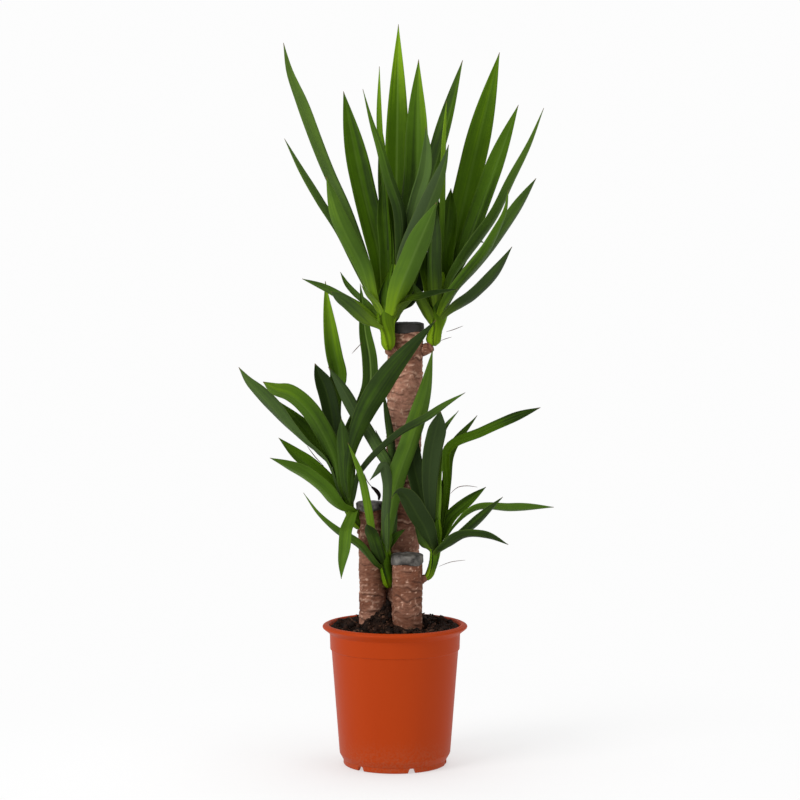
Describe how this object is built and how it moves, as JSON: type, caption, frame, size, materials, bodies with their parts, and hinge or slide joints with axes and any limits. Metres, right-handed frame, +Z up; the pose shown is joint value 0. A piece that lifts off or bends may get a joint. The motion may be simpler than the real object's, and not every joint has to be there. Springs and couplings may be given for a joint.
{
  "type": "potted yucca plant",
  "caption": "Potted yucca: upright cut canes of stepped heights with sword-leaved shoots at their tops and sides, in dark soil, in a round terracotta-coloured plastic nursery pot.",
  "frame": {"origin": "middle of the pot's base, on the surface it stands on", "axes": "+Z up along the pot's axis, +X to the right and +Y away as the picture sees the plant"},
  "size_m": [0.3655, 0.2915, 0.873],
  "materials": {
    "pot_plastic": "satin terracotta orange, moulded",
    "potting_soil": "dark crumbly potting soil of peat and bark",
    "bark": "rough flaking brown bark",
    "sealing_wax": "dull dark grey wax",
    "leaf": "tough green blades with a satin sheen"
  },
  "bodies": {
    "root": {"pot": "pot_plastic", "soil": "potting_soil", "cane_tall": "bark", "cane_left": "bark", "cane_short": "bark", "wax_tall": "sealing_wax", "wax_left": "sealing_wax", "wax_short": "sealing_wax", "shoot_upper_left": "leaf", "shoot_upper_right": "leaf", "shoot_left": "leaf", "shoot_centre": "leaf", "shoot_right": "leaf"}
  },
  "joints": []
}
